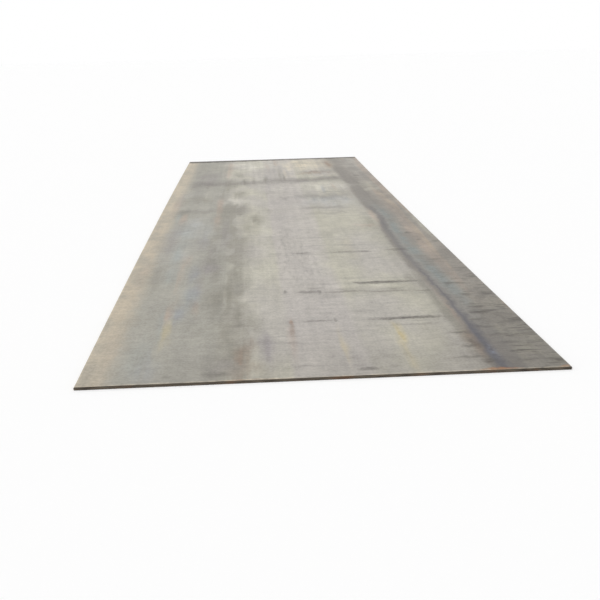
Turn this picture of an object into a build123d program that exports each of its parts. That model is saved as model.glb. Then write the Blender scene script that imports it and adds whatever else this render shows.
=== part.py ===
# Hot-rolled steel plate, cut to length from coil: one flat piece of stock.
# The long sides are rounded mill edges that bow a little to one side, as rolled.
# The two ends were cut by one shear, so one end has its rollover above and the other below.
# The plate lies flat: X across, Y along, Z up, the origin under the middle of its box.

import os
from math import sqrt

from build123d import *

# The stock
length = 6000.0
width = 1500.0
thickness = 10.0

# The long sides: camber is the bow in plan over the whole length, bulge how far the rounded edge stands out
camber = 10.0
mill_edge_bulge = 2.0

# The sheared ends: a rounded corner, the straight burnished land, then the break, which slopes back
rollover_radius = 1.6
burnished_share = 0.4
break_setback = 0.7

# How far the strip runs past the plate that is cut from it
overrun = 1.0


def mill_edged_section(along):
    """The strip's section square to Y, with rounded edges, moved aside by the camber at this place along it."""
    edge_radius = ((thickness / 2) ** 2 + mill_edge_bulge**2) / (2 * mill_edge_bulge)
    reach = thickness / 2 + overrun
    setback = edge_radius - sqrt(edge_radius**2 - reach**2)
    bottom = thickness / 2 - reach
    top = thickness / 2 + reach
    bow = camber * (1 - (2 * along / length) ** 2)
    left = (camber - width) / 2 - bow
    right = left + width
    with BuildSketch(Plane((0, along, 0), x_dir=(1, 0, 0), z_dir=(0, -1, 0))) as section:
        with BuildLine():
            ThreePointArc((left + setback, bottom), (left, thickness / 2), (left + setback, top))
            Line((left + setback, top), (right - setback, top))
            ThreePointArc((right - setback, top), (right, thickness / 2), (right - setback, bottom))
            Line((right - setback, bottom), (left + setback, bottom))
        make_face()
    return section.sketch


def mill_edged_strip():
    """The strip as rolled, a little longer and thicker than the plate: its section lofted along the camber."""
    half = length / 2 + overrun
    return loft([mill_edged_section(-half), mill_edged_section(0), mill_edged_section(half)])


def sheared_elevation():
    """The plate seen from its side: each end is straight over the land and slopes back over the break."""
    front = -length / 2
    back = length / 2
    land = thickness * burnished_share
    with BuildSketch(Plane.YZ) as elevation:
        with BuildLine():
            Polyline(
                (front + break_setback, 0),
                (front, thickness - land),
                (front, thickness),
                (back - break_setback, thickness),
                (back, land),
                (back, 0),
                close=True,
            )
        make_face()
    return elevation.sketch


def steel_plate():
    """The strip cut to the sheared elevation, with the rollover on the edge that the blade drew in at each end."""
    cut = mill_edged_strip() & extrude(sheared_elevation(), width / 2 + camber, both=True)
    across = cut.edges().filter_by(Axis.X).group_by(Axis.Z)
    front_upper = across[-1].sort_by(Axis.Y)[0]
    back_lower = across[0].sort_by(Axis.Y)[-1]
    return fillet([front_upper, back_lower], rollover_radius)


os.makedirs("parts", exist_ok=True)
export_step(steel_plate(), "parts/steel_plate.step")
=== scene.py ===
"""A hot-rolled steel plate with its mill scale, lying on a pale floor.

The plate's outline, camber and thickness are read from the frame. This script gives it the relief of its
rolled faces, its mill edges and its sheared ends, and the tints, streaks and rust of its scale.
X runs across the plate, Y along it away from the camera, Z up. Lengths are in metres.
"""

import math

import bmesh
import bpy
from mathutils import Matrix, Vector, noise


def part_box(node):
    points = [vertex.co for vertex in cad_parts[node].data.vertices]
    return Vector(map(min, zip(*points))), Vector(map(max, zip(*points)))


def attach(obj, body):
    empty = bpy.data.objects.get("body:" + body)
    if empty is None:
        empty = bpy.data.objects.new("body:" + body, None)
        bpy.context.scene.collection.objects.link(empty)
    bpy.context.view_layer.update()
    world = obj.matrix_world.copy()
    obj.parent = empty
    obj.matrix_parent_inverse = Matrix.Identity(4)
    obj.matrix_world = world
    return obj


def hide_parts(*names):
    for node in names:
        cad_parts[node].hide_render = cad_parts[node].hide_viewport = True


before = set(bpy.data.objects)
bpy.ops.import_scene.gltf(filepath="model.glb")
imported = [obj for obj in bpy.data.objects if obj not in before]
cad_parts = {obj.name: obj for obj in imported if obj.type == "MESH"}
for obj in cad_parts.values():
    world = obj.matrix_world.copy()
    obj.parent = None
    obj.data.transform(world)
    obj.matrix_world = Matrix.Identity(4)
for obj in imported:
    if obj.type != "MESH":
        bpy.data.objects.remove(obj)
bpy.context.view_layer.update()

# The plate as the frame gives it
NODE = "steel_plate"
BODY = "root"
LOW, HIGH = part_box(NODE)
LENGTH = HIGH.y - LOW.y
THICKNESS = HIGH.z - LOW.z
END_SLACK = 0.0005
FACE_SLACK = 0.00005
CAD_POINTS = [vertex.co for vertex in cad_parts[NODE].data.vertices]
CAMBER = min(point.x for point in CAD_POINTS if point.y < LOW.y + END_SLACK) - LOW.x
MILL_BULGE = min(point.x for point in CAD_POINTS if point.z > HIGH.z - FACE_SLACK) - LOW.x
WIDTH = HIGH.x - LOW.x - CAMBER

# The sheared ends: rounded corner, straight land, then the break, which slopes back
ROLLOVER = 0.0016
LAND_SHARE = 0.4
BREAK_SETBACK = 0.0007

# The mesh: cells of the upper face, its narrow outer ring, and the heights of the rim's rings as shares
CELLS_ACROSS = 300
CELLS_ALONG = 220
OUTER_RING = 0.003
RING_SHARES = (0.995, 0.98, 0.95, 0.91, 0.84, 0.72, 0.6, 0.5, 0.4, 0.28, 0.16, 0.09, 0.05, 0.02, 0.005, 0.0)

# Relief, all of it inwards
FACE_WAVE = 0.0006
LEVELLER_WAVE = 0.00012
MILL_EDGE_WAVE = 0.0016
TEAR_DEPTH = 0.0012
NICK_DEPTH = 0.006
WAVE_FADE = 0.05
END_FACING = 0.6

# Surfaces: the mill scale and the cut ends
SCALE_ROUGHNESS = 0.56
SCALE_SPECULAR = 0.3
SCALE_BUMP = 0.15
TEAR_BUMP = 0.3
BUMP_DISTANCE = 0.001
METALLIC = 0.2

# Where the side band lies across the plate, and how wide the dark strip along the far end is
SIDE_BAND = 0.520
FAR_STRIP = 0.07

# The camera, from the plate's four corners in the photograph
FRAME_PIXELS = 600
FOCAL_PIXELS = 955
SENSOR = 36.0
CAMERA_PLACE = (-0.195, -5.702, 0.957)
CAMERA_PITCH = math.radians(14.63)
CAMERA_YAW = math.radians(2.73)
CAMERA_ROLL = math.radians(1.51)

# Light: a white sky and one wide soft lamp, together about one unit on a level face
SKY_STRENGTH = 0.62
LAMP_STRENGTH = 1.3
LAMP_ANGLE = math.radians(70)
LAMP_TILT = (math.radians(18), math.radians(-24), 0.0)
FLOOR_HALF = 150.0


def linear(red, green, blue):
    """A colour given as screen values from 0 to 255, as the shader wants it."""
    def one(value):
        share = value / 255
        return share / 12.92 if share <= 0.04045 else ((share + 0.055) / 1.055) ** 2.4
    return (one(red), one(green), one(blue), 1.0)


# Tints of the scale. The bright and cream tints also serve as painted sheen and painted highlights, and the
# smoky tint as painted shade towards the near end
PALE = linear(177, 172, 164)
BRIGHT_TINT_AND_SHEEN = linear(200, 196, 185)
OLIVE = linear(181, 177, 162)
ROSY = linear(178, 172, 167)
MIST = linear(172, 174, 173)
COOL = linear(157, 154, 144)
KHAKI = linear(128, 124, 112)
TAN = linear(186, 174, 154)
CREAM_TINT_AND_SHEEN = linear(203, 193, 173)
SMOKE = linear(120, 115, 109)
MARGIN = linear(140, 134, 125)
TEAL = linear(148, 154, 151)
SLATE = linear(126, 133, 131)
BLUE = linear(136, 141, 149)
SKY = linear(144, 152, 170)
VIOLET = linear(146, 140, 140)
PINK = linear(171, 151, 135)
BROWN = linear(136, 116, 100)
YELLOW = linear(184, 169, 127)
INK = linear(78, 78, 86)
DARK = linear(66, 61, 54)
RUST = linear(154, 110, 70)

# Tints of the cut ends
TORN = linear(52, 45, 37)
BURNISHED = linear(106, 96, 82)
RUSTED = linear(104, 74, 50)

# Heat tints, in columns along the rolling direction: for each tint the places across and along, the reach
# each way, and the strength. The bright and cream patches are partly painted sheen, where the rolled face
# reflects the sky
HEAT_TINTS = (
    # Partly painted sheen: the lighter middle and far end of the plate
    (BRIGHT_TINT_AND_SHEEN, (
        (-0.22, 2.55, 0.16, 0.75, 1.0), (-0.05, 2.55, 0.13, 0.75, 1.0), (0.10, 2.62, 0.06, 0.45, 0.8),
        (0.30, 1.16, 0.32, 0.34, 0.7), (-0.28, 0.52, 0.17, 0.20, 0.8), (-0.13, -0.55, 0.05, 1.40, 0.4),
        (-0.15, -2.20, 0.08, 0.70, 0.25), (-0.20, -1.60, 0.11, 0.60, 0.3), (-0.14, 1.25, 0.06, 0.80, 0.4),
        (0.00, 1.10, 0.09, 0.30, 0.6), (-0.13, -1.40, 0.07, 0.40, 0.4), (0.10, -1.50, 0.06, 0.40, 0.4),
    )),
    # Partly painted sheen: the lighter far end, where the face reflects the sky
    (CREAM_TINT_AND_SHEEN, (
        (0.28, 2.55, 0.30, 0.70, 1.2), (0.42, 1.78, 0.12, 0.12, 0.4), (0.08, 1.95, 0.026, 0.45, 0.7),
        (0.12, 1.82, 0.07, 0.17, 0.4), (-0.71, -2.70, 0.06, 0.46, 0.5),
    )),
    (OLIVE, (
        (0.33, -0.18, 0.24, 0.44, 1.2), (0.24, -0.80, 0.10, 0.60, 0.9), (0.22, -1.10, 0.14, 0.42, 0.8),
        (0.20, -1.40, 0.14, 0.40, 0.9), (0.64, 1.10, 0.10, 0.34, 0.6), (0.735, -0.40, 0.04, 0.50, 0.7),
        (0.735, 0.60, 0.04, 0.40, 0.4),
    )),
    (MIST, (
        (0.31, 0.44, 0.28, 0.40, 0.6), (-0.52, -0.45, 0.17, 0.52, 0.7), (-0.56, -1.05, 0.08, 0.60, 0.4),
    )),
    (KHAKI, (
        (-0.362, -2.10, 0.055, 0.60, 0.9), (-0.275, -1.75, 0.044, 0.80, 0.6),
        (-0.290, -2.74, 0.10, 0.46, 0.7), (-0.625, -1.60, 0.040, 0.44, 0.4),
        (-0.310, 0.22, 0.130, 0.36, 0.8), (-0.265, 0.06, 0.060, 0.34, 0.5),
        (-0.290, -0.75, 0.100, 0.90, 0.5), (-0.540, 0.66, 0.200, 0.26, 0.6),
        (-0.560, 2.50, 0.18, 0.60, 0.3), (-0.330, 1.42, 0.070, 0.36, 0.5),
        (-0.230, 1.45, 0.036, 0.30, 0.5), (-0.085, 1.62, 0.022, 0.32, 0.9),
        (0.035, 1.90, 0.026, 0.60, 0.6), (-0.340, 1.00, 0.080, 0.40, 0.3),
        (-0.392, 1.10, 0.018, 0.60, 0.6), (0.505, -2.25, 0.032, 0.80, 0.7),
        (-0.360, -1.30, 0.100, 0.44, 0.5), (-0.100, 0.13, 0.05, 0.16, 0.4),
        (-0.220, -0.40, 0.090, 0.50, 0.6), (-0.620, 0.12, 0.070, 0.24, 0.8),
        (-0.350, 1.30, 0.080, 0.60, 0.8), (-0.285, -1.55, 0.026, 0.36, 1.0),
        (-0.300, -1.95, 0.026, 0.36, 1.0), (-0.265, -2.30, 0.034, 0.22, 1.0),
        (-0.210, -2.46, 0.060, 0.18, 0.8), (-0.370, -1.60, 0.034, 0.50, 0.9),
        (-0.250, 0.10, 0.100, 0.30, 0.5), (0.400, -2.62, 0.070, 0.50, 0.4),
        (0.400, -1.95, 0.080, 0.36, 0.3), (-0.390, 1.42, 0.020, 0.30, 0.9),
        (-0.245, 1.48, 0.020, 0.28, 0.9), (-0.175, 1.55, 0.020, 0.26, 0.7),
        (0.060, 1.72, 0.020, 0.36, 0.9), (0.470, -0.40, 0.050, 0.30, 0.6),
        (0.465, -1.80, 0.050, 0.14, 0.7), (-0.300, -2.50, 0.070, 0.26, 0.5),
        (-0.290, 1.90, 0.070, 0.26, 0.7), (-0.290, 0.86, 0.090, 0.22, 0.8),
        (-0.175, -0.15, 0.070, 0.34, 0.9),
    )),
    (SMOKE, (
        (-0.540, 1.48, 0.160, 0.40, 0.9), (-0.540, 1.92, 0.160, 0.50, 0.6),
        (-0.600, 1.30, 0.06, 0.30, 0.3), (-0.080, 0.90, 0.080, 0.14, 0.3),
        (0.200, -0.72, 0.110, 0.14, 0.3), (0.220, 0.16, 0.16, 0.12, 0.3),
        (-0.340, -2.80, 0.090, 0.36, 0.4), (0.280, 0.62, 0.220, 0.18, 0.5),
        (0.680, 1.60, 0.080, 0.22, 0.6), (0.680, 0.10, 0.080, 0.26, 0.6),
        (0.590, -2.80, 0.050, 0.36, 0.8), (0.590, 0.08, 0.060, 0.20, 0.4),
        (0.000, 0.60, 0.070, 0.14, 0.5), (-0.360, 1.60, 0.060, 0.14, 0.6),
    )),
    (VIOLET, (
        (-0.400, -1.42, 0.070, 0.24, 0.7), (-0.435, -1.80, 0.042, 0.40, 0.5),
        (-0.300, -2.86, 0.08, 0.16, 0.4), (-0.170, -2.72, 0.045, 0.30, 1.2),
        (-0.460, -0.88, 0.080, 0.26, 0.6), (-0.620, -0.80, 0.06, 0.70, 0.5),
        (-0.345, -0.62, 0.040, 0.60, 0.6), (-0.520, 1.75, 0.150, 0.60, 0.4),
        (-0.04, 2.20, 0.06, 0.46, 0.5), (-0.660, 0.70, 0.040, 0.60, 0.4),
        (-0.390, -1.05, 0.050, 0.40, 0.3), (-0.590, 0.95, 0.10, 0.26, 0.3),
    )),
    (TEAL, (
        (-0.565, -1.64, 0.050, 0.24, 0.7), (-0.545, -2.33, 0.032, 0.34, 0.6),
        (-0.570, -1.10, 0.04, 0.50, 0.6), (-0.590, -2.72, 0.052, 0.30, 0.4),
        (-0.455, -2.00, 0.060, 0.22, 0.5), (-0.640, 0.00, 0.032, 0.42, 0.5),
        (-0.560, -0.62, 0.080, 0.40, 0.3),
    )),
    (BLUE, (
        (-0.488, -2.22, 0.040, 0.24, 0.7), (-0.470, -1.62, 0.044, 0.36, 0.6),
        (-0.455, -1.92, 0.052, 0.28, 0.4), (-0.550, -2.85, 0.060, 0.18, 0.3),
        (0.300, 0.60, 0.240, 0.20, 0.2), (0.310, 0.98, 0.018, 0.28, 0.5),
        (-0.460, -0.80, 0.055, 0.22, 0.3),
    )),
    (PINK, (
        (-0.515, -1.33, 0.036, 0.24, 0.5), (-0.527, -1.65, 0.018, 0.30, 0.5),
        (-0.526, -2.17, 0.026, 0.24, 0.7), (-0.428, -2.16, 0.022, 0.20, 0.6),
        (-0.605, -0.12, 0.034, 0.28, 0.7), (-0.398, 0.36, 0.036, 0.48, 0.8),
        (-0.398, -0.15, 0.036, 0.42, 0.5), (-0.670, 0.35, 0.045, 0.60, 0.3),
        (0.430, -0.50, 0.120, 0.09, 0.5), (0.018, 2.70, 0.030, 0.36, 0.6),
        (0.380, 1.02, 0.028, 0.28, 0.6), (-0.370, 2.35, 0.050, 0.90, 0.6),
        (-0.060, 2.50, 0.040, 0.60, 0.4), (-0.078, -2.62, 0.024, 0.34, 0.4),
        (0.512, -0.15, 0.028, 0.40, 0.5), (-0.690, -1.50, 0.040, 0.34, 0.3),
        (-0.690, -2.65, 0.050, 0.40, 0.2),
    )),
    (BROWN, (
        (-0.242, -2.73, 0.050, 0.18, 0.9), (-0.230, -2.93, 0.090, 0.14, 0.4),
        (0.512, -2.76, 0.034, 0.28, 0.7), (0.320, 1.96, 0.200, 0.15, 0.8),
        (0.465, 2.55, 0.050, 0.50, 0.9), (-0.073, -2.49, 0.014, 0.17, 0.7),
    )),
    (YELLOW, (
        (0.300, -2.53, 0.028, 0.20, 1.0), (0.288, -2.72, 0.022, 0.36, 0.4),
        (0.095, -2.65, 0.020, 0.28, 0.4), (0.265, -1.15, 0.050, 0.36, 0.2),
        (-0.513, -2.41, 0.024, 0.20, 0.6), (-0.510, -2.57, 0.030, 0.12, 0.2),
    )),
)

# Dark bands across the plate: place along at the middle, slope, half width, where it starts and ends across,
# and the strength
CROSS_BANDS = (
    (1.48, 0.20, 0.12, -0.64, 0.49, 0.6), (1.54, 0.00, 0.09, 0.12, 0.49, 0.45),
    (2.00, 0.05, 0.05, 0.18, 0.48, 0.3), (0.68, 0.06, 0.08, 0.10, 0.48, 0.4),
    (0.83, 0.00, 0.014, 0.26, 0.50, 0.4), (0.17, 0.0, 0.06, -0.66, -0.42, 0.4),
    (-0.05, 0.0, 0.03, 0.14, 0.38, 0.4), (0.17, 0.0, 0.05, 0.12, 0.40, 0.4),
    (-0.52, 0.0, 0.015, -0.66, -0.55, 0.3), (2.62, 0.05, 0.03, 0.24, 0.48, 0.2),
    (-1.98, 0.0, 0.05, 0.00, 0.48, 0.25),
)

# Dark streaks where the leveller broke the scale: place across and along, reach each way, strength
STREAKS = (
    (0.33, -1.985, 0.14, 0.022, 0.5), (0.34, -1.830, 0.20, 0.036, 1.0), (0.17, -1.970, 0.14, 0.024, 0.5),
    (0.01, -1.955, 0.065, 0.032, 0.6), (0.37, -1.937, 0.05, 0.030, 0.4),
    (-0.075, -1.94, 0.010, 0.050, 0.7), (0.06, -1.96, 0.010, 0.055, 0.6),
    (0.05, -1.895, 0.05, 0.024, 0.4), (0.48, -2.000, 0.05, 0.018, 0.5), (0.10, -1.830, 0.08, 0.020, 0.2),
    (0.35, -2.388, 0.19, 0.030, 1.0), (0.03, -2.385, 0.08, 0.022, 0.6),
    (0.095, -2.385, 0.010, 0.034, 0.7), (-0.26, -2.41, 0.08, 0.026, 0.3),
    (0.36, -2.475, 0.14, 0.024, 0.3), (0.34, -2.220, 0.12, 0.030, 0.15), (0.24, -1.190, 0.15, 0.036, 0.5),
    (0.335, -1.187, 0.05, 0.034, 0.6), (0.045, -1.19, 0.07, 0.040, 0.5), (0.50, -1.170, 0.10, 0.036, 0.5),
    (-0.10, -1.19, 0.05, 0.040, 0.2), (-0.30, -1.20, 0.08, 0.040, 0.2), (0.14, -2.942, 0.045, 0.024, 0.7),
    (-0.33, -2.94, 0.06, 0.040, 0.4), (-0.47, -2.940, 0.03, 0.026, 0.3), (0.49, -2.595, 0.05, 0.018, 0.6),
    (0.50, -2.757, 0.05, 0.022, 0.7), (0.475, -2.865, 0.06, 0.020, 0.7),
    (0.523, -2.91, 0.025, 0.028, 0.7), (0.52, -2.60, 0.02, 0.030, 0.6), (0.518, -2.72, 0.018, 0.09, 0.6),
    (0.63, -1.893, 0.08, 0.022, 0.6), (0.64, -2.082, 0.04, 0.024, 0.6), (0.642, -2.27, 0.04, 0.018, 0.7),
    (0.615, -2.352, 0.06, 0.030, 0.8), (0.59, -2.442, 0.05, 0.018, 0.5), (0.60, -2.541, 0.07, 0.020, 0.6),
    (0.63, -2.635, 0.05, 0.022, 0.6), (0.635, -2.73, 0.06, 0.020, 0.5), (0.64, -2.820, 0.05, 0.018, 0.6),
    (0.65, -2.910, 0.06, 0.016, 0.6), (0.73, -2.650, 0.04, 0.022, 0.7), (0.735, -2.92, 0.05, 0.026, 0.9),
    (0.71, -2.080, 0.05, 0.034, 0.5), (0.73, -1.790, 0.04, 0.034, 0.5), (0.62, -0.750, 0.03, 0.036, 0.6),
    (0.72, -1.000, 0.03, 0.040, 0.5), (0.64, -0.950, 0.02, 0.030, 0.4), (0.63, -1.430, 0.04, 0.030, 0.4),
    (0.60, -1.700, 0.06, 0.024, 0.3), (0.68, -0.300, 0.03, 0.060, 0.3), (0.70, -2.480, 0.05, 0.018, 0.4),
    (0.62, 1.680, 0.035, 0.080, 0.4),
)

# Rust along the near end and where scale has lifted: place across and along, reach each way, strength
RUST_SPOTS = (
    (0.53, -2.994, 0.08, 0.024, 0.9), (0.735, -2.994, 0.025, 0.016, 0.6),
    (-0.225, -2.998, 0.12, 0.014, 0.4), (-0.075, -2.390, 0.012, 0.040, 0.4),
)


class Field:
    """A value that changes over a surface: it wraps a socket, and sums on it add Math nodes."""

    def __init__(self, tree, socket):
        self.tree = tree
        self.socket = socket

    def make(self, kind, settings=None, inputs=None, output=0):
        """Adds a node with its settings, then its sockets' values or links, and gives one of its outputs."""
        node = self.tree.nodes.new(kind)
        for name, value in (settings or {}).items():
            setattr(node, name, value)
        for name, value in (inputs or {}).items():
            if isinstance(value, Field):
                self.tree.links.new(value.socket, node.inputs[name])
            else:
                node.inputs[name].default_value = value
        return Field(self.tree, node.outputs[output])

    def maths(self, operation, *values):
        return self.make("ShaderNodeMath", {"operation": operation}, dict(enumerate(values)))

    def __add__(self, other):
        return self.maths("ADD", self, other)

    def __radd__(self, other):
        return self.maths("ADD", other, self)

    def __sub__(self, other):
        return self.maths("SUBTRACT", self, other)

    def __rsub__(self, other):
        return self.maths("SUBTRACT", other, self)

    def __mul__(self, other):
        return self.maths("MULTIPLY", self, other)

    def __rmul__(self, other):
        return self.maths("MULTIPLY", other, self)

    def rise(self, start, end):
        """0 before start, 1 after end, with a smooth slope between; start may be the greater one."""
        inputs = {"Value": self, "From Min": start, "From Max": end}
        settings = {"interpolation_type": "SMOOTHSTEP", "clamp": False}
        return self.make("ShaderNodeMapRange", settings, inputs)

    def within(self, start, end, soft):
        """1 from start to end, falling to 0 over the soft width on each side."""
        return self.rise(start - soft, start + soft) * self.rise(end + soft, end - soft)

    def part(self, axis):
        """One of the three numbers of these coordinates."""
        return self.make("ShaderNodeSeparateXYZ", {}, {0: self}, axis)

    def with_parts(self, x, y, z):
        return self.make("ShaderNodeCombineXYZ", {}, {"X": x, "Y": y, "Z": z})

    def stretched(self, scales, moved):
        """These coordinates, multiplied and then moved."""
        inputs = {0: self, 1: scales, 2: moved}
        return self.make("ShaderNodeVectorMath", {"operation": "MULTIPLY_ADD"}, inputs)

    def grain(self, across, along, seed, detail=2.0):
        """Noise from 0 to 1, with so many features to the metre across and along."""
        place = self.stretched((across, along, across), (seed, -seed, seed))
        return self.make("ShaderNodeTexNoise", {}, {"Vector": place, "Scale": 1.0, "Detail": detail})

    def spots(self, rows, fray, core):
        """The strongest of several spots, each a place, a reach and a strength, even over its core."""
        mask = 0.0
        for x, y, reach_x, reach_y, strength in rows:
            centred = self.stretched((1 / reach_x, 1 / reach_y, 0.0), (-x / reach_x, -y / reach_y, 0.0))
            away = self.make("ShaderNodeVectorMath", {"operation": "LENGTH"}, {0: centred}, "Value")
            mask = self.maths("MAXIMUM", (away + fray).rise(1.0, core) * strength, mask)
        return mask

    def blended(self, other, share):
        """This colour with a share of another."""
        return self.make("ShaderNodeMix", {"data_type": "RGBA"}, {0: share, 6: self, 7: other}, 2)

    def shaded(self, shade):
        """This colour multiplied by a number."""
        grey = self.with_parts(shade, shade, shade)
        settings = {"data_type": "RGBA", "blend_type": "MULTIPLY"}
        return self.make("ShaderNodeMix", settings, {0: 1.0, 6: self, 7: grey}, 2)


def new_material(name):
    """An empty material with its shader, and the Object coordinates as a field."""
    material = bpy.data.materials.new(name)
    material.use_nodes = True
    tree = material.node_tree
    shader = tree.nodes["Principled BSDF"]
    place = Field(tree, tree.nodes.new("ShaderNodeTexCoord").outputs["Object"])
    return material, shader, place


class RolledFace:
    """What the parts of the scale's colour share: the place on the plate and the rolling's grain."""

    def __init__(self, place):
        self.place = place
        self.x = place.part("X")
        self.y = place.part("Y")
        self.upper = place.part("Z").rise(THICKNESS * 0.3, THICKNESS * 0.7)
        along = self.y * (2 / LENGTH)
        self.across = self.x - CAMBER / 2 + CAMBER * (1 - along * along)
        self.waver = place.grain(2.6, 1.2, 37) - 0.5
        self.ripple = place.grain(28, 10, 41) - 0.5
        swayed = place.with_parts(self.x, self.y + self.ripple * 0.04 + self.waver * 0.06, 0.0)
        self.rungs = swayed.grain(1.8, 24, 8, detail=3)
        self.fine_rungs = swayed.grain(7, 75, 13, detail=3)
        self.scuffs = place.grain(22, 100, 17, detail=3)
        self.columns = place.grain(11, 0.35, 71, detail=3)
        self.strands = place.grain(30, 0.5, 3, detail=3)
        self.fine_strands = place.grain(95, 0.9, 5, detail=2)
        self.speckle = place.grain(130, 100, 21, detail=4)
        self.chips = place.grain(75, 60, 61, detail=4)
        self.mottle = place.grain(38, 26, 26, detail=3)
        self.blotch = place.grain(9, 4, 34, detail=5)
        self.cloud = place.grain(4, 1.5, 31, detail=3)
        streaked = self.waver * 0.04 + self.ripple * 0.016 + (self.strands - 0.5) * 0.04
        drifted = self.waver * 0.2 + self.ripple * 0.12 + (self.strands - 0.5) * 0.3
        self.warped = place.with_parts(self.x + streaked, self.y + drifted, 0.0)
        shaken = self.ripple * 0.02 + (self.mottle - 0.5) * 0.02
        self.shaken = place.with_parts(self.x + self.ripple * 0.04, self.y + shaken, 0.0)


def lengthwise_bands(face):
    """The scale's broad bands along the rolling direction, darker towards the near end."""
    x = face.warped.part("X")
    inputs = {0: face.cloud.rise(0.35, 0.65), 6: PALE, 7: OLIVE}
    colour = face.place.make("ShaderNodeMix", {"data_type": "RGBA"}, inputs, 2)
    colour = colour.blended(ROSY, x.within(-0.09, 0.16, 0.015) * 0.75)
    far = face.y.rise(0.1, 0.5)
    border = -0.31 - far * 0.075
    frayed = x + (face.blotch - 0.5) * far * 0.2
    colour = colour.blended(COOL, frayed.rise(border + 0.05, border - 0.05) * 0.9 * face.upper)
    stain = face.place.grain(5, 1.3, 47, detail=3).rise(0.47, 0.53)
    darker = x.within(-0.40, -0.22, 0.05) * face.y.rise(1.0, 0.3) * stain
    colour = colour.blended(KHAKI, darker * 0.5 * face.upper)
    edge = x + (face.mottle - 0.5) * 0.05 + (face.blotch - 0.5) * 0.1
    colour = colour.blended(TAN, edge.rise(-0.62, -0.70) * (0.55 + 0.4 * face.blotch.rise(0.4, 0.6)))
    # The tan border paler towards the far end, partly painted sheen
    colour = colour.blended(CREAM_TINT_AND_SHEEN, edge.rise(-0.65, -0.70) * face.y.rise(-0.6, 1.5) * 0.25)
    colour = colour.blended(SMOKE, face.x.rise(0.38, 0.50) * 0.25 * face.upper)
    shadow = face.y.rise(-2.35, -3.1) * (0.06 + face.x.rise(-0.7, -0.5) * 0.16 + face.x.rise(-0.3, 0.4) * 0.2)
    return colour.blended(SMOKE, shadow * face.upper)


def heat_tints(face, colour):
    """The tints that the cooling left, in broken columns along the rolling direction; the bright and cream
    ones are partly painted sheen.
    """
    uneven = 0.45 + 0.25 * face.strands.rise(0.35, 0.65) + 0.3 * face.blotch.rise(0.4, 0.6)
    fray = face.place.grain(14, 5, 53, detail=4) - 0.5
    for tint, rows in HEAT_TINTS:
        colour = colour.blended(tint, face.warped.spots(rows, fray, 0.0) * uneven * face.upper)
    return colour


def cross_bands(face, colour):
    """The dark bands where the coil was bent, slightly oblique to the rolling direction."""
    drifted = face.y + face.waver * 0.12 + face.ripple * 0.10 + (face.columns - 0.5) * 0.2
    uneven = 0.65 + 0.35 * face.blotch.rise(0.4, 0.6)
    for middle, slope, half, start, end, strength in CROSS_BANDS:
        away = drifted - face.x * slope - middle
        band = away.within(-half, half, half) * face.x.within(start, end, 0.04)
        colour = colour.blended(SMOKE, band * uneven * strength * face.upper)
    return colour


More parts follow.
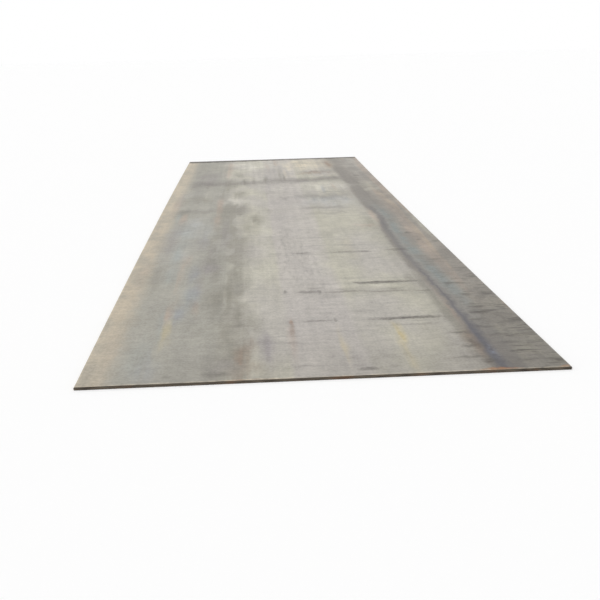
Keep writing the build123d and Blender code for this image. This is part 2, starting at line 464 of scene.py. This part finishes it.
def side_band(face, colour):
    """The dark heat band along the right side, and the margin beyond it."""
    y = face.y
    upper = face.upper
    near = y.rise(0.45, -0.05)
    front = y.rise(-1.7, -2.6)
    shifted = y.within(-0.4, 0.0, 0.3)
    middle = SIDE_BAND + shifted * 0.028 + y.rise(-1.2, -2.2) * 0.030 - y.rise(1.2, 2.2) * 0.015
    ragged = face.ripple * 0.02 + (face.strands - 0.5) * 0.02 + (face.mottle - 0.5) * 0.03
    beside = face.x + ragged - middle
    patchy = face.cloud.rise(0.35, 0.65)
    spotted = face.blotch.rise(0.42, 0.6)
    colour = colour.blended(MARGIN, beside.rise(-0.04, -0.01) * 0.9 * upper)
    colour = colour.blended(PALE, beside.rise(0.0, 0.16) * y.rise(0.4, 2.8) * 0.6 * upper)
    hazy = beside.within(-0.02, 0.085, 0.03) * (1 - near) * (0.3 + 0.3 * patchy + 0.2 * spotted)
    colour = colour.blended(SMOKE, hazy * y.rise(2.9, 1.7) * upper)
    bluish = beside.within(0.025, 0.075, 0.03) * near * (1 - front * 0.6) * (0.5 + 0.4 * spotted)
    colour = colour.blended(SLATE, bluish * upper)
    colour = colour.blended(KHAKI, beside.rise(0.04, 0.1) * front * 0.7 * upper)
    colour = colour.blended(SMOKE, beside.rise(0.01, 0.06) * (1 - spotted) * (0.25 + 0.35 * front) * upper)
    grimy = beside.rise(0.01, 0.05) * face.mottle.rise(0.47, 0.62) * y.rise(-0.5, -2.2)
    colour = colour.blended(DARK, grimy * 0.28 * upper)
    dashes = face.place.grain(10, 48, 83, detail=4).rise(0.53, 0.66) * y.rise(-0.8, -2.2)
    colour = colour.blended(DARK, beside.rise(0.02, 0.06) * dashes * 0.65 * upper)
    strokes = face.columns.rise(0.46, 0.54) * (0.3 + 0.4 * patchy + 0.3 * spotted) * (1 - front)
    colour = colour.blended(PINK, beside.rise(0.09, 0.12) * strokes * 0.5 * upper)
    colour = colour.blended(YELLOW, beside.within(0.14, 0.18, 0.02) * strokes * 0.12 * upper)
    burnt = beside.within(-0.03, 0.08, 0.04) * y.rise(-2.0, -2.8)
    colour = colour.blended(SMOKE, burnt * (0.5 + 0.3 * patchy) * upper)
    shoulder = beside.within(-0.036, -0.012, 0.016) * y.rise(-0.5, -0.75) * (0.5 + 0.5 * spotted)
    colour = colour.blended(DARK, shoulder * 0.42 * upper)
    dull = beside.within(-0.056, -0.034, 0.014) * y.within(-2.6, -1.75, 0.2)
    colour = colour.blended(KHAKI, dull * 0.55 * upper)
    fringe = beside.within(-0.030, -0.012, 0.010) * y.within(-2.6, -1.9, 0.2) * (0.4 + 0.6 * spotted)
    colour = colour.blended(PINK, fringe * 0.4 * upper)
    charred = beside.within(-0.03, 0.07, 0.03) * y.rise(-2.3, -2.85) * (0.5 + 0.5 * spotted)
    colour = colour.blended(DARK, charred * 0.55 * upper)
    spread = y.rise(-2.3, -2.9) * 0.006
    core = (beside + spread).rise(-0.024, 0.000) * (beside - spread).rise(0.034, 0.006)
    colour = colour.blended(INK, core * (near * 0.6 + front * 0.2) * (0.7 + 0.3 * patchy) * upper)
    line = beside.within(-0.003, 0.005, 0.006) * y.within(-2.7, -1.6, 0.25)
    colour = colour.blended(INK, line * 0.45 * upper)
    stained = beside.within(-0.05, -0.022, 0.02) * y.within(-2.93, -2.55, 0.12) * face.scuffs.rise(0.42, 0.58)
    colour = colour.blended(DARK, stained * 0.5 * upper)
    flecks = beside.within(0.0, 0.022, 0.016) * y.within(-2.84, -2.76, 0.08) * face.mottle.rise(0.4, 0.6)
    return colour.blended(SKY, flecks * 0.5 * upper)


def leveller_marks(face, colour):
    """Dark streaks and specks where the leveller broke the scale, and rust."""
    upper = face.upper
    broken = 0.5 + 0.5 * face.scuffs.rise(0.35, 0.55)
    frayed = face.scuffs - 0.5 + (face.chips - 0.5) * 0.8
    colour = colour.blended(DARK, face.shaken.spots(STREAKS, frayed, 0.2) * broken * 0.85 * upper)
    specks = face.place.grain(60, 10, 67, detail=4).rise(0.50, 0.72)
    specked = face.x.within(-0.10, 0.11, 0.05) * face.y.within(-1.9, -0.5, 0.3)
    colour = colour.blended(DARK, specked * specks * 0.2 * upper)
    return colour.blended(RUST, face.shaken.spots(RUST_SPOTS, frayed, 0.3) * broken * upper)


def rim_highlights_and_far_strip(face, colour):
    """Painted highlights along the left mill edge and the near end, where their rounded tops catch the light,
    and a dark strip along the far end.
    """
    highlight_unevenness = 0.3 + 0.7 * face.mottle.rise(0.4, 0.6)
    # Painted highlight where the rounded left mill edge catches the light
    left = face.across.rise(0.010 - WIDTH / 2, 0.004 - WIDTH / 2)
    colour = colour.blended(CREAM_TINT_AND_SHEEN, left * highlight_unevenness * 0.6 * face.upper)
    # Painted highlight along the rounded near end
    lip_highlight = face.y.rise(0.012 - LENGTH / 2, 0.005 - LENGTH / 2)
    colour = colour.blended(CREAM_TINT_AND_SHEEN, lip_highlight * highlight_unevenness * 0.5 * face.upper)
    # A ragged dark strip along the far end
    uneven = face.ripple * 0.06 + (face.columns - 0.5) * 0.08
    far_strip = LENGTH / 2 - FAR_STRIP - face.x.rise(0.6, -0.75) * 0.04 + uneven
    return colour.blended(DARK, (face.y - far_strip).rise(-0.05, 0.04) * 0.9 * face.upper)


def scale_colour(face):
    """The mill scale's colour: bands, tints with painted sheen, marks, painted rim highlights and a dark far
    strip, all shaded by the grain of the rolling.
    """
    colour = lengthwise_bands(face)
    colour = side_band(face, colour)
    colour = heat_tints(face, colour)
    colour = cross_bands(face, colour)
    colour = leveller_marks(face, colour)
    colour = rim_highlights_and_far_strip(face, colour)
    creases = face.rungs.rise(0.42, 0.30) * face.x.within(-0.20, 0.52, 0.1) * face.blotch.rise(0.4, 0.6)
    colour = colour.blended(SMOKE, creases * 0.35 * face.upper)
    lengthwise = (face.columns - 0.5) * 0.25 + (face.strands - 0.5) * 0.25
    lengthwise = lengthwise + (face.fine_strands - 0.5) * face.cloud * 0.25
    crosswise = (face.rungs - 0.5) * 0.25 + (face.fine_rungs - 0.5) * face.blotch * 0.6
    mottled = (face.cloud - 0.5) * 0.15 + (face.blotch - 0.5) * 0.4
    mottled = mottled + (face.mottle - 0.5) * 0.35 + (face.speckle - 0.5) * 0.55
    depth = 1 + face.y.rise(0.3, 1.8) * 0.5
    return colour.shaded(1 + (lengthwise + crosswise) * depth + mottled)


def join(shader, socket, value):
    value.tree.links.new(value.socket, shader.inputs[socket])


def mill_scale():
    """Mill scale on the rolled faces and mill edges: satin, tinted by heat, with streaks and rust."""
    material, shader, place = new_material("mill_scale")
    face = RolledFace(place)
    join(shader, "Base Color", scale_colour(face))
    join(shader, "Roughness", SCALE_ROUGHNESS + (face.rungs - 0.5) * 0.2 + (face.strands - 0.5) * 0.15)
    height = face.rungs * 0.5 + face.fine_rungs * 0.3 + face.speckle * 0.2
    inputs = {"Strength": SCALE_BUMP, "Distance": BUMP_DISTANCE, "Height": height}
    join(shader, "Normal", place.make("ShaderNodeBump", {}, inputs))
    shader.inputs["Metallic"].default_value = METALLIC
    shader.inputs["Specular IOR Level"].default_value = SCALE_SPECULAR
    return material


def sheared_steel():
    """The cut ends: torn dark brown steel with lighter burnish and rust."""
    material, shader, place = new_material("sheared_steel")
    inputs = {"Vector": place.stretched((22, 22, 420), (5, 5, 5)), "Scale": 1.0, "Detail": 4.0}
    tear = place.make("ShaderNodeTexNoise", {}, inputs)
    blotch = place.grain(9, 9, 58, detail=4)
    inputs = {0: tear.rise(0.35, 0.68), 6: TORN, 7: BURNISHED}
    colour = place.make("ShaderNodeMix", {"data_type": "RGBA"}, inputs, 2)
    colour = colour.blended(RUSTED, blotch.rise(0.52, 0.66) * 0.6)
    join(shader, "Base Color", colour)
    join(shader, "Roughness", 0.8 - tear * 0.25)
    inputs = {"Strength": TEAR_BUMP, "Distance": BUMP_DISTANCE, "Height": tear}
    join(shader, "Normal", place.make("ShaderNodeBump", {}, inputs))
    shader.inputs["Metallic"].default_value = METALLIC
    return material


def mill_setback(height):
    """How far the rounded mill edge lies inside its widest line, at a height given as a share."""
    radius = ((THICKNESS / 2) ** 2 + MILL_BULGE**2) / (2 * MILL_BULGE)
    return radius - math.sqrt(radius**2 - (THICKNESS * (height - 0.5)) ** 2)


def shear_setback(height):
    """How far a cut end lies inside its land, at a height given as a share from the break to the rollover."""
    below_top = THICKNESS * (1 - height)
    if below_top < ROLLOVER:
        return ROLLOVER - math.sqrt(ROLLOVER**2 - (ROLLOVER - below_top) ** 2)
    return BREAK_SETBACK * max(0.0, 1 - height / (1 - LAND_SHARE))


def unit_noise(x, y, z):
    """Noise from 0 to 1."""
    return min(1.0, max(0.0, 0.5 + 0.5 * noise.noise((x, y, z))))


def end_tear(x, height, seed):
    """How far the torn surface of a cut end lies inside its plain shape."""
    torn = max(0.0, 1 - height / (1 - LAND_SHARE))
    uneven = 0.6 * unit_noise(x * 13, height * 2, seed) + 0.4 * unit_noise(x * 41, height * 4, seed + 20)
    nick = max(0.0, noise.noise((x * 6, seed, 4.0)) - 0.3) * max(0.0, noise.noise((x * 45, seed, 9.0)))
    return TEAR_DEPTH * uneven * (0.2 + 0.8 * torn) + NICK_DEPTH * nick


def plate_point(across, along, height):
    """Where a point of the plate lies: across and along run from -1 to 1, height from 0 to 1."""
    x = across * WIDTH / 2
    y = along * LENGTH / 2
    z = THICKNESS * height
    at_side = abs(across) == 1
    at_end = abs(along) == 1
    if at_end:
        cut_height = height if along < 0 else 1 - height
        y -= along * (shear_setback(cut_height) + end_tear(x, cut_height, along))
    if at_side:
        wave = unit_noise(y * 6, across, 2.0) * unit_noise(y * 1.3, across, 6.0)
        x -= across * (mill_setback(height) + MILL_EDGE_WAVE * wave)
    if height == 1 and not at_side and not at_end:
        from_rim = min(WIDTH / 2 - abs(x), LENGTH / 2 - abs(y))
        relief = FACE_WAVE * unit_noise(x * 2.2, y * 1.1, 1.0)
        relief += LEVELLER_WAVE * unit_noise(x * 1.5, y * 9, 3.0)
        z -= relief * min(1.0, max(0.0, from_rim - OUTER_RING) / WAVE_FADE)
    bow = CAMBER * (1 - along**2)
    return Vector((x + CAMBER / 2 - bow, y, z))


def rolled_plate():
    """The plate: a grid for the upper face, the rim drawn down from it ring by ring, and the underside."""
    mesh = bmesh.new()
    bmesh.ops.create_grid(mesh, x_segments=CELLS_ACROSS, y_segments=CELLS_ALONG, size=0.5)
    bmesh.ops.scale(mesh, vec=(WIDTH, LENGTH, 1.0), verts=mesh.verts)
    bmesh.ops.inset_region(
        mesh, faces=mesh.faces, thickness=OUTER_RING, use_boundary=True, use_even_offset=True
    )
    heights = {vertex: 1.0 for vertex in mesh.verts}
    border = [edge for edge in mesh.edges if edge.is_boundary]
    for share in RING_SHARES:
        made = bmesh.ops.extrude_edge_only(mesh, edges=border)["geom"]
        border = [item for item in made if isinstance(item, bmesh.types.BMEdge) and item.is_boundary]
        heights.update((item, share) for item in made if isinstance(item, bmesh.types.BMVert))
    bmesh.ops.contextual_create(mesh, geom=border)
    for vertex, height in heights.items():
        across = round(2 * vertex.co.x / WIDTH, 5)
        along = round(2 * vertex.co.y / LENGTH, 5)
        vertex.co = plate_point(across, along, height)
    bmesh.ops.recalc_face_normals(mesh, faces=mesh.faces)
    for face in mesh.faces:
        face.smooth = len(face.verts) == 4
        face.material_index = 1 if abs(face.normal.y) > END_FACING else 0
    data = bpy.data.meshes.new("rolled_plate")
    mesh.to_mesh(data)
    mesh.free()
    data.materials.append(mill_scale())
    data.materials.append(sheared_steel())
    plate = bpy.data.objects.new("rolled_plate", data)
    bpy.context.scene.collection.objects.link(plate)
    return plate


def floor():
    """A pale floor, white where the camera sees it lit, which keeps the plate's shadow."""
    mesh = bmesh.new()
    bmesh.ops.create_grid(mesh, x_segments=1, y_segments=1, size=FLOOR_HALF)
    data = bpy.data.meshes.new("floor")
    mesh.to_mesh(data)
    mesh.free()
    material, shader, _ = new_material("floor")
    shader.inputs["Base Color"].default_value = (1.0, 1.0, 1.0, 1.0)
    shader.inputs["Roughness"].default_value = 1.0
    data.materials.append(material)
    ground = bpy.data.objects.new("floor", data)
    bpy.context.scene.collection.objects.link(ground)


def studio_light():
    """A white surround that lights the plate softly, and one wide lamp."""
    world = bpy.data.worlds.new("surround")
    world.use_nodes = True
    tree = world.node_tree
    back = tree.nodes["Background"]
    back.inputs["Color"].default_value = (1.0, 1.0, 1.0, 1.0)
    rays = tree.nodes.new("ShaderNodeLightPath")
    seen = Field(tree, rays.outputs["Is Camera Ray"])
    for ray in ("Is Glossy Ray", "Is Transmission Ray"):
        seen = seen.maths("MAXIMUM", seen, Field(tree, rays.outputs[ray]))
    join(back, "Strength", SKY_STRENGTH + seen * (1 - SKY_STRENGTH))
    bpy.context.scene.world = world

    lamp = bpy.data.lights.new("wide_lamp", "SUN")
    lamp.energy = LAMP_STRENGTH
    lamp.angle = LAMP_ANGLE
    light = bpy.data.objects.new("wide_lamp", lamp)
    light.rotation_euler = LAMP_TILT
    bpy.context.scene.collection.objects.link(light)


def photo_camera():
    """The camera that took the photograph, as its perspective shows it."""
    lens = bpy.data.cameras.new("camera")
    lens.sensor_width = SENSOR
    lens.lens = SENSOR * FOCAL_PIXELS / FRAME_PIXELS
    camera = bpy.data.objects.new("camera", lens)
    turn = Matrix.Rotation(-CAMERA_YAW, 4, "Z") @ Matrix.Rotation(math.pi / 2 - CAMERA_PITCH, 4, "X")
    turn = turn @ Matrix.Rotation(-CAMERA_ROLL, 4, "Z")
    camera.matrix_world = Matrix.Translation(CAMERA_PLACE) @ turn
    bpy.context.scene.collection.objects.link(camera)
    bpy.context.scene.camera = camera


plate = rolled_plate()
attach(plate, BODY)
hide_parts(NODE)
floor()
studio_light()
photo_camera()
bpy.context.scene.view_settings.view_transform = "Standard"
